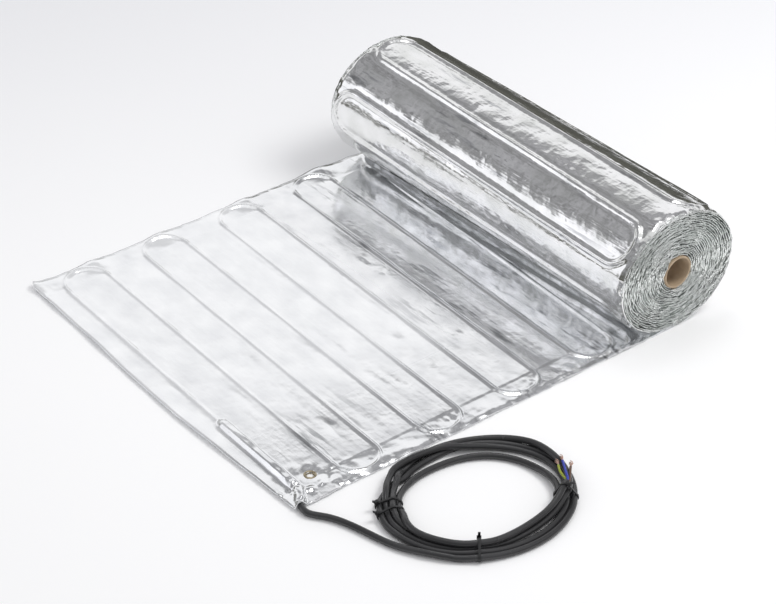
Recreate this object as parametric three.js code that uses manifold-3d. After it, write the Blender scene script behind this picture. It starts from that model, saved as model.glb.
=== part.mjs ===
// A foil underfloor heating mat, part laid out and part still rolled on its cardboard tube.
// Millimetres, +Z up. The mat runs along X, the roll's axis along Y, and the underside is at Z = 0.
import * as THREE from "three";
import { mergeVertices } from "three/addons/utils/BufferGeometryUtils.js";
import Module from "manifold-3d";

// Driving dimensions

// The foil sheet
const matWidth = 500;
const laidLength = 512;
const sheetThickness = 1.2;
const foilWall = 0.5;
const clearance = 0.3;

// The roll, sagged under its own weight
const rollWidth = 166;
const rollHeight = 143;
const restFlat = 1.2;
const turnsShown = 9;
const turnGroove = 2;
const turnStep = 3.3;
const outerTurnSag = 0.8;

// The cable's rows on the roll's outer turn, counted along it from the floor up the back
const rollRowCount = 8;
const rollRowPitch = 53.5;
const rollFirstRow = 64.4;
const rollRowLean = -12;
const rollRidgeHeight = 2.8;
const rollRidgeWidth = 6.4;
const rollRidgeSunk = 1;

// The cardboard tube in the roll
const tubeOuterDiameter = 38;
const tubeBoreDiameter = 33;

// The heating cable's rows across the mat
const cableDiameter = 2.4;
const rowCount = 9;
const rowPitch = 52.8;
const firstRow = 20;
const rowLean = 22;
const edgeMargin = 8;

// The sleeve that joins the heating cable to the cold tail
const sleeveDiameter = 7.6;
const sleeveLength = 130;
const sleeveFromEdge = 28;

// The eyelet near the corner
const eyeletX = 46.5;
const eyeletFromEdge = 37;
const eyeletHole = 8;
const eyeletBarrel = 10;
const eyeletFlange = 15;
const eyeletLowerFlange = 13;
const eyeletLip = 1.1;
const eyeletLowerLip = 0.4;

// The cold tail and its coil
const tailDiameter = 7;
const coilFromLeadingEdge = 151;
const coilFromNearEdge = 99.5;
const coilOuterRadius = 98;
const coilBand = 20;
const coilHeight = 15;
const coilCorner = 5;

// The ties round the coil
const tieThickness = 1.2;
const tieWidth = 2.6;
const tieHeadWidth = 4.6;
const tieHeadHeight = 4.2;
const tieHeadDepth = 3.2;

// The three wires at the tail's end
const wireDiameter = 2.4;
const wireSpread = 1.65;
const strandDiameter = 1.4;
const strandLength = 9;

// How finely round shapes are cut
const rollFacets = 48;
const tubeFacets = 32;
const eyeletFacets = 24;
const coilFacets = 40;
const cordSides = 10;
const cableSides = 8;
const ridgeSides = 4;
const turnSteps = 8;
const tailSteps = 32;

// Worked out from the sizes above
const halfWidth = matWidth / 2;
const overallLength = laidLength + rollWidth / 2;
const rollHalfHeight = (rollHeight + restFlat) / 2;
const rollCentreZ = rollHalfHeight - restFlat;
const rollBoreRadius = tubeOuterDiameter / 2 + clearance;
const coilBottom = tieThickness + clearance;
const coilTop = coilBottom + coilHeight;
const coilInnerRadius = coilOuterRadius - coilBand;
const coilCentre = [coilFromLeadingEdge, -halfWidth - coilFromNearEdge];

const wasm = await Module();
wasm.setup();

const finishes = {
  foil: { color: 0xd9dcdf, roughness: 0.25, metalness: 1 },
  cardboard: { color: 0xb9a184, roughness: 0.85, metalness: 0 },
  heatingCable: { color: 0x7a1f1c, roughness: 0.5, metalness: 0 },
  blackPvc: { color: 0x1d1d1f, roughness: 0.55, metalness: 0 },
  nickel: { color: 0xb9a888, roughness: 0.3, metalness: 1 },
  nylon: { color: 0x141415, roughness: 0.5, metalness: 0 },
  brown: { color: 0x6b4530, roughness: 0.5, metalness: 0 },
  blue: { color: 0x2b3f8f, roughness: 0.5, metalness: 0 },
  greenYellow: { color: 0x6f8434, roughness: 0.5, metalness: 0 },
  copper: { color: 0xb98a7a, roughness: 0.35, metalness: 1 },
};

// Everything hangs in this group, whose origin is the middle of the mat's underside.
const heatingMat = new THREE.Group();
const mat = new THREE.Group();
mat.position.x = -overallLength / 2;
heatingMat.add(mat);

function addMesh(name, geometry, finish) {
  const mesh = new THREE.Mesh(geometry, new THREE.MeshStandardMaterial(finishes[finish]));
  mesh.name = name;
  mat.add(mesh);
  return mesh;
}

// Solids from geometries and back

function closedGeometry(geometry) {
  const bare = geometry.index ? geometry.toNonIndexed() : geometry.clone();
  bare.deleteAttribute("normal");
  bare.deleteAttribute("uv");
  const merged = mergeVertices(bare, 1e-4);
  if (signedVolume(merged) < 0) {
    const index = merged.index.array;
    for (let i = 0; i < index.length; i += 3) {
      const first = index[i];
      index[i] = index[i + 1];
      index[i + 1] = first;
    }
  }
  return merged;
}

function signedVolume(geometry) {
  const place = geometry.attributes.position;
  const index = geometry.index.array;
  const corner = [new THREE.Vector3(), new THREE.Vector3(), new THREE.Vector3()];
  let volume = 0;
  for (let i = 0; i < index.length; i += 3) {
    corner.forEach((point, k) => point.fromBufferAttribute(place, index[i + k]));
    volume += corner[0].dot(corner[1].cross(corner[2])) / 6;
  }
  return volume;
}

function solid(geometry) {
  const closed = closedGeometry(geometry);
  return new wasm.Manifold(new wasm.Mesh({
    numProp: 3,
    vertProperties: new Float32Array(closed.attributes.position.array),
    triVerts: new Uint32Array(closed.index.array),
  }));
}

function geometryOf(manifold) {
  const mesh = manifold.getMesh();
  const geometry = new THREE.BufferGeometry();
  geometry.setAttribute("position", new THREE.BufferAttribute(new Float32Array(mesh.vertProperties), 3));
  geometry.setIndex(new THREE.BufferAttribute(new Uint32Array(mesh.triVerts), 1));
  return geometry;
}

// A way through given points, with one section standing at each of them.
class Route extends THREE.Curve {
  constructor(points) {
    super();
    this.stops = points;
  }

  getPoint(t) {
    const along = t * (this.stops.length - 1);
    const before = Math.min(Math.floor(along + 1e-9), this.stops.length - 2);
    return this.stops[before].clone().lerp(this.stops[before + 1], along - before);
  }

  getPointAt(u) {
    return this.getPoint(u);
  }

  getTangent(t) {
    const last = this.stops.length - 1;
    const at = Math.round(t * last);
    const ahead = this.stops[Math.min(at + 1, last)].clone().sub(this.stops[Math.min(at, last - 1)]);
    const behind = this.stops[Math.max(at, 1)].clone().sub(this.stops[Math.max(at - 1, 0)]);
    return ahead.normalize().add(behind.normalize()).normalize();
  }

  getTangentAt(u) {
    return this.getTangent(u);
  }
}

function sweep(section, points) {
  return new THREE.ExtrudeGeometry(section, {
    steps: points.length - 1,
    extrudePath: new Route(points),
  });
}

function tubeAlong(points, radius, sides) {
  const section = [];
  for (let i = 0; i < sides; i++) {
    const angle = (2 * Math.PI * (i + 0.5)) / sides;
    section.push(new THREE.Vector2(radius * Math.cos(angle), radius * Math.sin(angle)));
  }
  return sweep(new THREE.Shape(section), points);
}

// A ridge of foil along a level route: round on top, its feet sunk below the route.
// On a level route a section's own X points down and its Y lies across.
function ridgeAlong(points, halfRidge, height, sunk) {
  const section = [new THREE.Vector2(sunk, -halfRidge)];
  for (let i = 0; i <= ridgeSides; i++) {
    const angle = Math.PI * (i / ridgeSides);
    section.push(new THREE.Vector2(-height * Math.sin(angle), -halfRidge * Math.cos(angle)));
  }
  section.push(new THREE.Vector2(sunk, halfRidge));
  return sweep(new THREE.Shape(section), points);
}

// A ridge over a tunnel on the floor, its feet in the sheet.
function ridgeOverTunnel(points, radius) {
  return ridgeAlong(points, radius, radius, points[0].z - sheetThickness / 3);
}

function lathe(profile, facets) {
  const closed = [...profile, profile[0]].map(([radius, height]) => new THREE.Vector2(radius, height));
  return new THREE.LatheGeometry(closed, facets);
}

// A turned shape whose axis is upright instead of along Y.
function uprightLathe(profile, facets) {
  return lathe(profile, facets).rotateX(Math.PI / 2);
}

function smoothRoute(points, steps) {
  const curve = new THREE.CatmullRomCurve3(points, false, "centripetal");
  return curve.getSpacedPoints(steps);
}

// The mat's own line of rows

function rowX(row, y) {
  return firstRow + row * rowPitch + (rowLean * (y + halfWidth)) / matWidth;
}

const cableRadius = cableDiameter / 2;
const ridgeRadius = cableRadius + clearance + foilWall;
const cableZ = ridgeRadius;
const turnRadius = rowPitch / 2;
const turnY = halfWidth - edgeMargin - turnRadius;
const sleeveStart = -halfWidth + sleeveFromEdge;
const sleeveEnd = sleeveStart + sleeveLength;

// Rows go up and down across the mat, joined by half turns; the last bends in under the roll.
function cableRoute(start) {
  const lastTurnShare = 0.3;
  const points = [new THREE.Vector3(rowX(0, start), start, cableZ)];
  for (let row = 0; row < rowCount; row++) {
    const side = row % 2 === 0 ? 1 : -1;
    const last = row === rowCount - 1;
    const centreX = rowX(row, side * turnY) + turnRadius;
    const steps = last ? 3 : turnSteps;
    const sweepAngle = last ? Math.PI * lastTurnShare : Math.PI;
    for (let i = 0; i <= steps; i++) {
      const angle = (sweepAngle * i) / steps;
      points.push(new THREE.Vector3(
        centreX - turnRadius * Math.cos(angle),
        side * (turnY + turnRadius * Math.sin(angle)),
        cableZ,
      ));
    }
  }
  return points;
}

function lengthened(points, atStart, atEnd) {
  const longer = points.map((point) => point.clone());
  const last = longer.length - 1;
  const first = points[0].clone().sub(points[1]).normalize();
  const final = points[last].clone().sub(points[last - 1]).normalize();
  longer[0].addScaledVector(first, atStart);
  longer[last].addScaledVector(final, atEnd);
  return longer;
}

const cableLine = cableRoute(sleeveEnd + clearance);

const sleeveRadius = sleeveDiameter / 2;
const sleeveRidge = sleeveRadius + clearance + foilWall;
const sleeveLine = [sleeveStart, sleeveEnd].map((y) => new THREE.Vector3(rowX(0, y), y, sleeveRidge));

// The cold tail from the sleeve to the sheet's corner, then over the floor to the coil.
// Its points are X from the leading edge and Y from the near edge, inwards.
const tailRadius = tailDiameter / 2;
const tailRidge = tailRadius + clearance + foilWall;
const tailUnderFoil = [
  [rowX(0, sleeveStart), sleeveFromEdge - clearance],
  [rowX(0, sleeveStart), sleeveFromEdge - tailRadius],
  [19.4, 19.5],
  [15.2, 13],
  [10.2, 5.5],
  [7, 0],
].map(([x, y]) => new THREE.Vector3(x, y - halfWidth, tailRidge));
const tailOnFloor = [
  [5.4, -6.5, 4.1],
  [6, -13, 3.8],
  [10.5, -20.5, 3.6],
  [16.5, -28.5, 3.6],
  [22, -39, 3.6],
  [26.5, -51.5, 3.6],
  [30.3, -65.5, 3.6],
  [33.8, -80.5, 3.6],
  [37.6, -95.5, 3.6],
  [42.3, -109, 4],
  [48.6, -121.5, 4.6],
  [56.2, -134.2, 5.2],
].map(([x, y, z]) => new THREE.Vector3(x, y - halfWidth, z));
const tailLine = smoothRoute([...tailUnderFoil, ...tailOnFloor], tailSteps);
const tailInMat = tailLine.filter((point) => point.y > -halfWidth - tailDiameter);

// Pieces

function makeFoilMat() {
  const sheetOutline = new THREE.Shape();
  sheetOutline.moveTo(0, -halfWidth);
  sheetOutline.lineTo(laidLength, -halfWidth);
  sheetOutline.lineTo(laidLength, halfWidth);
  sheetOutline.lineTo(0, halfWidth);
  const sheet = solid(new THREE.ExtrudeGeometry(sheetOutline, { depth: sheetThickness, bevelEnabled: false }));

  const ridges = [
    ridgeOverTunnel(lengthened(cableLine, 0, foilWall), ridgeRadius),
    ridgeOverTunnel(lengthened(sleeveLine, clearance + foilWall, clearance + foilWall), sleeveRidge),
    ridgeOverTunnel(tailInMat, tailRidge),
  ];
  const tunnels = [
    tubeAlong(lengthened(cableLine, 2 * clearance, clearance), cableRadius + clearance, cableSides),
    tubeAlong(lengthened(sleeveLine, clearance, clearance), sleeveRadius + clearance, cordSides),
    tubeAlong(lengthened(tailInMat, 2 * clearance, 0), tailRadius + clearance, cordSides),
    eyeletSpace(),
  ];

  const overSheet = new THREE.BoxGeometry(laidLength, matWidth, rollHeight);
  overSheet.translate(laidLength / 2, 0, rollHeight / 2);
  let foil = sheet.add(makeRoll()).add(makeRollRidge());
  for (const ridge of ridges) {
    foil = foil.add(solid(ridge).intersect(solid(overSheet)));
  }
  for (const tunnel of tunnels) {
    foil = foil.subtract(solid(tunnel));
  }
  return geometryOf(foil);
}

// The rolled part: one turned solid whose turns show as grooves on both ends.
function makeRoll() {
  const outerRadius = rollWidth / 2;
  const turnPitch = (outerRadius - rollBoreRadius) / turnsShown;
  const ends = [];
  for (let turn = 0; turn <= turnsShown; turn++) {
    ends.push([rollBoreRadius + turn * turnPitch, halfWidth - turnGroove]);
    if (turn < turnsShown) {
      ends.push([rollBoreRadius + (turn + 0.5) * turnPitch, halfWidth]);
    }
  }
  const farEnd = ends;
  const nearEnd = ends.map(([radius, y]) => [radius, -y]).reverse();
  const roll = lathe([...farEnd, ...nearEnd], rollFacets);

  // Sagging leaves the bore round and presses the outer turns flatter, and each turn lies a step
  // further in by the time it is back at the floor.
  const place = roll.attributes.position;
  for (let i = 0; i < place.count; i++) {
    const x = place.getX(i);
    const z = place.getZ(i);
    const share = (Math.hypot(x, z) - rollBoreRadius) / (outerRadius - rollBoreRadius);
    const squash = 1 - share * (1 - rollHalfHeight / outerRadius);
    const turned = (Math.atan2(x, -z) / (2 * Math.PI) + 1) % 1;
    const drawnIn = 1 - (share * (outerTurnSag + turnStep * turned)) / outerRadius;
    place.setX(i, x * drawnIn);
    place.setZ(i, Math.max(z * squash * drawnIn, -rollCentreZ));
  }
  return solid(roll.translate(laidLength, 0, rollCentreZ));
}

// The ridge over the cable's rows in the outer turn: made flat, then bent round the roll.
function makeRollRidge() {
  const outerTurn = new THREE.EllipseCurve(
    0, 0, rollWidth / 2, rollHalfHeight, -Math.PI / 2, 1.5 * Math.PI,
  );
  const girth = outerTurn.getLength();
  const halfPitch = rollRowPitch / 2;
  const rowAt = (row, y) => rollFirstRow + row * rollRowPitch + (rollRowLean * y) / matWidth;

  const points = [new THREE.Vector3(rowAt(0, turnY), turnY, 0)];
  for (let row = 0; row < rollRowCount; row++) {
    const side = row % 2 === 0 ? -1 : 1;
    const centre = rowAt(row, side * turnY) + halfPitch;
    const steps = row === rollRowCount - 1 ? 0 : turnSteps;
    for (let i = 0; i <= steps; i++) {
      const angle = (Math.PI * i) / turnSteps;
      points.push(new THREE.Vector3(
        centre - halfPitch * Math.cos(angle),
        side * (turnY + halfPitch * Math.sin(angle)),
        0,
      ));
    }
  }

  const ridge = closedGeometry(ridgeAlong(points, rollRidgeWidth / 2, rollRidgeHeight, rollRidgeSunk));
  const place = ridge.attributes.position;
  for (let i = 0; i < place.count; i++) {
    const share = place.getX(i) / girth;
    const spot = outerTurn.getPointAt(share);
    const along = outerTurn.getTangentAt(share);
    const outwards = place.getZ(i) - outerTurnSag - turnStep * share;
    place.setX(i, laidLength + spot.x + along.y * outwards);
    place.setZ(i, rollCentreZ + spot.y - along.x * outwards);
  }
  return solid(ridge);
}

function makeCardboardTube() {
  const inner = tubeBoreDiameter / 2;
  const outer = tubeOuterDiameter / 2;
  const profile = [[inner, -halfWidth], [outer, -halfWidth], [outer, halfWidth], [inner, halfWidth]];
  const tube = lathe(profile, tubeFacets);
  return closedGeometry(tube.translate(laidLength, 0, rollCentreZ));
}

// The eyelet grips the sheet's thin rim between its two flanges.
const eyeletPlace = [eyeletX, -halfWidth + eyeletFromEdge];
const lowerFlangeSpace = eyeletLowerLip + clearance;

function eyeletSpace() {
  const hole = eyeletBarrel / 2 + clearance;
  const recess = eyeletLowerFlange / 2 + clearance;
  const above = 2 * sheetThickness;
  const profile = [
    [0, -sheetThickness],
    [recess, -sheetThickness],
    [recess, lowerFlangeSpace],
    [hole, lowerFlangeSpace],
    [hole, above],
    [0, above],
  ];
  return uprightLathe(profile, eyeletFacets).translate(...eyeletPlace, 0);
}

function makeEyelet() {
  const hole = eyeletHole / 2;
  const barrel = eyeletBarrel / 2;
  const flange = eyeletFlange / 2;
  const lower = eyeletLowerFlange / 2;
  const underLip = sheetThickness + clearance;
  const top = underLip + eyeletLip;
  const chamfer = eyeletLip / 2;
  const profile = [
    [hole, 0],
    [lower, 0],
    [lower, eyeletLowerLip],
    [barrel, eyeletLowerLip],
    [barrel, underLip],
    [flange, underLip],
    [flange, top - chamfer],
    [flange - chamfer, top],
    [hole + chamfer, top],
    [hole, top - chamfer],
  ];
  return closedGeometry(uprightLathe(profile, eyeletFacets).translate(...eyeletPlace, 0));
}

function onCoil(x, y, z) {
  return new THREE.Vector3(coilCentre[0] + x, coilCentre[1] + y, z);
}

function makeCoil() {
  const middle = new THREE.Vector2((coilOuterRadius + coilInnerRadius) / 2, coilBottom + coilHeight / 2);
  const flat = [coilBand / 2 - coilCorner, coilHeight / 2 - coilCorner];
  const corners = [[1, 1], [-1, 1], [-1, -1], [1, -1]];
  const cornerSteps = 2;
  const profile = [];
  corners.forEach(([sideX, sideY], quarter) => {
    for (let i = 0; i <= cornerSteps; i++) {
      const angle = (Math.PI / 2) * (quarter + i / cornerSteps);
      profile.push([
        middle.x + sideX * flat[0] + coilCorner * Math.cos(angle),
        middle.y + sideY * flat[1] + coilCorner * Math.sin(angle),
      ]);
    }
  });
  return closedGeometry(uprightLathe(profile, coilFacets).translate(...coilCentre, 0));
}

function roundedBox(halfWide, halfHigh, corner) {
  const outline = new THREE.Shape();
  outline.moveTo(-halfWide + corner, -halfHigh);
  outline.lineTo(halfWide - corner, -halfHigh);
  outline.absarc(halfWide - corner, -halfHigh + corner, corner, -Math.PI / 2, 0);
  outline.absarc(halfWide - corner, halfHigh - corner, corner, 0, Math.PI / 2);
  outline.absarc(-halfWide + corner, halfHigh - corner, corner, Math.PI / 2, Math.PI);
  outline.absarc(-halfWide + corner, -halfHigh + corner, corner, Math.PI, 1.5 * Math.PI);
  return outline;
}

// A tie: a closed strap round the coil's band, a head on one side and a tail past it.
// It is drawn with X outwards from the coil's middle and Y up, then turned to its place.
function makeTie({ angle, top, headSide, tail }) {
  const holeWide = coilBand / 2 + clearance;
  const holeHigh = (top - coilBottom) / 2 + clearance;
  const middleY = (coilBottom + top) / 2;
  const outline = roundedBox(holeWide + tieThickness, holeHigh + tieThickness, coilCorner + tieThickness);
  outline.holes.push(roundedBox(holeWide, holeHigh, coilCorner));
  const strap = new THREE.ExtrudeGeometry(outline, { depth: tieWidth, bevelEnabled: false, curveSegments: 2 });
  strap.translate(0, middleY, -tieWidth / 2);

  const outside = holeWide + tieThickness;
  const head = new THREE.BoxGeometry(tieHeadDepth + tieThickness / 2, tieHeadHeight, tieHeadWidth);
  head.translate(headSide * (outside + tieHeadDepth / 2 - tieThickness / 4), middleY, 0);
  const tailLength = tieHeadDepth + tail;
  const end = new THREE.BoxGeometry(tailLength, tieThickness, tieWidth);
  end.translate(headSide * (outside + tailLength / 2), middleY, 0);

  const tie = geometryOf(solid(strap).add(solid(head)).add(solid(end)));
  tie.translate((coilOuterRadius + coilInnerRadius) / 2, 0, 0);
  tie.rotateX(Math.PI / 2);
  tie.rotateZ(THREE.MathUtils.degToRad(angle));
  return tie.translate(...coilCentre, 0);
}

// The tail's last stretch lies on the coil, and its three wires fan out from it.
// These points are counted from the coil's middle.
const tailEndZ = coilTop + clearance + tailRadius;
const tailEndLine = [
  [48.5, -62],
  [54.5, -58.5],
  [60.5, -54.5],
  [66.5, -49.8],
  [72, -44.5],
].map(([x, y]) => onCoil(x, y, tailEndZ));

const wires = [
  { name: "live", finish: "brown", turn: 330, bend: [86.5, -37.5], end: [95, -29] },
  { name: "neutral", finish: "blue", turn: 90, bend: [83.3, -34], end: [94, -18] },
  { name: "earth", finish: "greenYellow", turn: 210, bend: [80, -30.5], end: [87, -19.5] },
];

function wireLine({ turn, end, bend }) {
  const last = tailEndLine[tailEndLine.length - 1];
  const onward = last.clone().sub(tailEndLine[tailEndLine.length - 2]).normalize();
  const across = new THREE.Vector3(onward.y, -onward.x, 0);
  const angle = THREE.MathUtils.degToRad(turn);
  const start = last.clone()
    .addScaledVector(onward, clearance)
    .addScaledVector(across, wireSpread * Math.cos(angle));
  start.z += wireSpread * Math.sin(angle);
  const restZ = coilTop + clearance + wireDiameter / 2;
  const straight = start.clone().addScaledVector(onward, tailRadius);
  return smoothRoute([
    start,
    straight,
    onCoil(...bend, (straight.z + restZ) / 2),
    onCoil(...end, restZ),
  ], 10);
}

function strandLine(line) {
  const last = line[line.length - 1];
  const onward = last.clone().sub(line[line.length - 2]).normalize();
  return [
    last.clone().addScaledVector(onward, clearance),
    last.clone().addScaledVector(onward, clearance + strandLength),
  ];
}

const ties = [
  { name: "tie_left_upper", angle: 150, top: coilTop, headSide: 1, tail: 3 },
  { name: "tie_left_lower", angle: 159, top: coilTop, headSide: 1, tail: 4 },
  { name: "tie_front", angle: 231, top: coilTop, headSide: -1, tail: 11 },
  { name: "tie_at_wires", angle: 321, top: tailEndZ + tailRadius, headSide: -1, tail: 2 },
];

addMesh("foil_mat", makeFoilMat(), "foil");
addMesh("cardboard_tube", makeCardboardTube(), "cardboard");
addMesh("heating_cable", closedGeometry(tubeAlong(cableLine, cableRadius, cableSides)), "heatingCable");
addMesh("joint_sleeve", closedGeometry(tubeAlong(sleeveLine, sleeveRadius, cordSides)), "blackPvc");
addMesh("eyelet", makeEyelet(), "nickel");

addMesh("cold_tail_lead", closedGeometry(tubeAlong(tailLine, tailRadius, cordSides)), "blackPvc");
addMesh("cold_tail_coil", makeCoil(), "blackPvc");
addMesh("cold_tail_end", closedGeometry(tubeAlong(tailEndLine, tailRadius, cordSides)), "blackPvc");
for (const tie of ties) {
  addMesh(tie.name, makeTie(tie), "nylon");
}
for (const wire of wires) {
  const line = wireLine(wire);
  const strands = tubeAlong(strandLine(line), strandDiameter / 2, cableSides);
  addMesh(`${wire.name}_wire`, closedGeometry(tubeAlong(line, wireDiameter / 2, cableSides)), wire.finish);
  addMesh(`${wire.name}_strands`, closedGeometry(strands), "copper");
}

export default heatingMat;
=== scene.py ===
# A foil underfloor heating mat: part laid out, part on its roll, with its cold tail tied in a coil.
from math import ceil, cos, floor, hypot, pi, radians, sin, sqrt

import bmesh
import bpy
import numpy as np
from mathutils import Matrix, Vector, noise


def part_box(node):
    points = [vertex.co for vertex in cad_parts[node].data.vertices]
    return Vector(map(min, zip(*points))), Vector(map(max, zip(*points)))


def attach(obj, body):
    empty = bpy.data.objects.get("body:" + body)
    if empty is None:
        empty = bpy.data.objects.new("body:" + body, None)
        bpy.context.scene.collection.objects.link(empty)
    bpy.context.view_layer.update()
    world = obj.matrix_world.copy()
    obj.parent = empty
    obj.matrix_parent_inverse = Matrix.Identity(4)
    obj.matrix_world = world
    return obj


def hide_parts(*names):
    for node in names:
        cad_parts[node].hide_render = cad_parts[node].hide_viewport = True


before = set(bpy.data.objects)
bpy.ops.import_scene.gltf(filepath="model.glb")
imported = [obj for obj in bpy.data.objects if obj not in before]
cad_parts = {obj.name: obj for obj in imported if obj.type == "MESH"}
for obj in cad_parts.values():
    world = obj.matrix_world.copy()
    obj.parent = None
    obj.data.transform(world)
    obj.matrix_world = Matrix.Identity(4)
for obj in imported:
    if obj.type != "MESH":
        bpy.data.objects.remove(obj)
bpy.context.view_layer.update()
mm = 0.001
body = "root"
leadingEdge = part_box("foil_mat")[0].x
print("frame loaded")


def onMat(x, y, z):
    # a point counted from the leading edge, in millimetres, as a place in the frame
    return Vector((leadingEdge + x * mm, y * mm, z * mm))


def smooth(t):
    t = max(0.0, min(1.0, t))
    return t * t * (3 - 2 * t)


# camera

view = {"place": (-1.54228, -1.94568, 1.65895), "heading": 51.244, "dip": 33.874, "lens": 126.34}


def addCamera():
    heading, dip = radians(view["heading"]), radians(view["dip"])
    look = Vector((cos(heading) * cos(dip), sin(heading) * cos(dip), -sin(dip)))
    data = bpy.data.cameras.new("camera")
    data.lens = view["lens"]
    data.sensor_width = 36
    data.sensor_fit = "HORIZONTAL"
    data.clip_end = 60
    camera = bpy.data.objects.new("camera", data)
    camera.location = view["place"]
    camera.rotation_euler = look.to_track_quat("-Z", "Y").to_euler()
    bpy.context.collection.objects.link(camera)
    bpy.context.scene.camera = camera


addCamera()


# the cold tail: a lead across the floor, then a bit over four turns in a tied coil

tail = {
    "diameter": 7.0,
    "exit": (7, -250, 4.3),
    "lead": (
        (16.4, -235.2, 4.3), (10.2, -244.5, 4.3), (7, -250, 4.3), (5.4, -256.5, 4.1), (6, -263, 3.8),
        (10.5, -270.5, 3.6), (16.5, -278.5, 3.6), (22, -289, 3.6), (26.5, -301.5, 3.6),
        (30.3, -315.5, 3.6), (33.8, -330.5, 3.6), (37.6, -345.5, 3.6), (42.3, -359, 4),
        (48.6, -371.5, 4.6), (56.2, -384.2, 5.2),
    ),
    "length": 2.5,
    "halfWide": 102.5,
    "halfDeep": 90.0,
    "shift": 2.0,
    "start": 206,
    "end": 326,
    "stepsPerTurn": 96,
}
# where each turn lies at these angles: how far in from the outermost line, and in which layer
coilAngles = (200, 231, 270, 300, 321, 360, 405, 450, 490, 510, 519, 540)
coilTurns = (
    ((0, 0), (1, 0), (0, 0), (0, 0), (3, 0), (1, 0), (6, 0), (14, 0), (9, 0), (4, 0), (4, 0), (6, 0)),
    ((7, 0), (8, 0), (7, 0), (7, 0), (10, 0), (8, 0), (13, 0), (7, 1), (3, 1), (11, 0), (11, 0), (13, 0)),
    ((14, 0), (15, 0), (18, 0), (17, 0), (6.5, 1), (4, 1), (0, 0), (1, 0), (15, 0), (7.5, 1), (7.5, 1),
     (20, 0)),
    ((21, 0), (21, 0), (25, 0), (23, 0), (13.6, 1), (28, 0), (27, 0), (27, 0), (21, 0), (18, 0), (18, 0),
     (12, 1)),
    ((17, 1), (11.5, 1), (21.5, 1), (19, 1), (10, 2)),
)
tieAngles = (150, 159, 231, 321)
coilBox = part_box("cold_tail_coil")
coilMiddle = (coilBox[0] + coilBox[1]) / 2


def outermost(angle):
    a = radians(angle)
    return 1 / hypot(cos(a) / tail["halfWide"], sin(a) / tail["halfDeep"])


def coilPlace(angle, inwards, height):
    a, r = radians(angle), (outermost(angle) - inwards) * mm
    return Vector((
        coilMiddle.x + r * cos(a),
        coilMiddle.y + tail["shift"] * mm + r * sin(a),
        height * mm,
    ))


def settleCoil():
    # lays the turns down on the floor and on each other, a diameter apart
    step = 360 / tail["stepsPerTurn"]
    last = tail["end"] + 360 * (len(coilTurns) - 1)
    angles = np.arange(tail["start"], last + step / 2, step)
    known = [
        (angle + 360 * turn, *place)
        for turn, places in enumerate(coilTurns)
        for angle, place in zip(coilAngles, places)
    ]
    known.append((last, 9.5, 2))
    at, wish, layer = (np.array(row, float) for row in zip(*known))
    inwards, layers = np.interp(angles, at, wish), np.interp(angles, at, layer)
    for _ in range(24):
        inwards[1:-1] = (inwards[:-2] + 2 * inwards[1:-1] + inwards[2:]) / 4
        layers[1:-1] = (layers[:-2] + 2 * layers[1:-1] + layers[2:]) / 4
    thick = tail["diameter"]
    wanted = inwards.copy()
    around = np.array([min(abs((a - t + 180) % 360 - 180) for t in tieAngles) for a in angles])
    ground = thick / 2 + 0.1 + 1.3 * np.exp(-((around / 6) ** 2))
    height = ground + layers * 6.4
    ramp = np.clip((angles - tail["start"]) / 30, 0, 1)
    rest = height.copy()
    for loop in range(320):
        if loop < 280:
            height += 0.06 * (rest - height)
            height[1:-1] += 0.6 * ((height[:-2] + height[2:]) / 2 - height[1:-1])
            drift = inwards - wanted
            drift[1:-1] += 0.6 * ((drift[:-2] + drift[2:]) / 2 - drift[1:-1])
            inwards = wanted + drift * 0.97
        for turns in range(1, len(coilTurns)):
            apart = turns * tail["stepsPerTurn"]
            if apart >= len(angles):
                break
            low, high = slice(0, len(angles) - apart), slice(apart, None)
            across, over = inwards[high] - inwards[low], height[high] - height[low]
            far = np.maximum(np.hypot(across, over), 0.01)
            push = np.maximum(0, thick - far) / 2 / far
            inwards[low] -= across * push
            inwards[high] += across * push
            height[low] -= over * push
            height[high] += over * push
        inwards = np.where(ramp < 1, inwards * ramp, inwards)
        height = np.maximum(height, ground)
    height[:3] = (5.0, 4.9, 4.8)
    return angles, inwards, height


coilAnglesAll, coilInwards, coilHeights = settleCoil()


def throughPoints(points, spacing):
    # a Catmull-Rom line through the points, cut into even steps
    ends = [points[0] * 2 - points[1], *points, points[-1] * 2 - points[-2]]
    line = []
    for a, b, c, d in zip(ends, ends[1:], ends[2:], ends[3:]):
        steps = max(1, round((c - b).length / spacing))
        for i in range(steps):
            t = i / steps
            line.append((
                b * 2 + (c - a) * t + (a * 2 - b * 5 + c * 4 - d) * t ** 2
                + (b * 3 - a - c * 3 + d) * t ** 3
            ) / 2)
    return line + [points[-1]]


def curvePiece(name, lines, diameter, sides=6):
    data = bpy.data.curves.new(name, "CURVE")
    data.dimensions = "3D"
    data.bevel_depth = diameter * mm / 2
    data.bevel_resolution = sides
    data.use_fill_caps = True
    for line in lines:
        spline = data.splines.new("POLY")
        spline.points.add(len(line) - 1)
        for point, place in zip(spline.points, line):
            point.co = (*place, 1)
        spline.use_smooth = True
    piece = bpy.data.objects.new(name, data)
    bpy.context.collection.objects.link(piece)
    return piece


coilLine = [coilPlace(a, i, h) for a, i, h in zip(coilAnglesAll, coilInwards, coilHeights)]
leadLine = throughPoints([onMat(*p) for p in tail["lead"]] + coilLine[:1], 0.004)
coldTailLine = leadLine[:-1] + coilLine
coldTail = curvePiece("cold_tail", [coldTailLine], tail["diameter"])
tailEnd = coldTailLine[-1]
tailWay = (coldTailLine[-1] - coldTailLine[-4]).normalized()
measured = sum((b - a).length for a, b in zip(coldTailLine, coldTailLine[1:]))
print(f"cold tail laid, {measured:.3f} m long")


# helpers for meshes and materials

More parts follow.
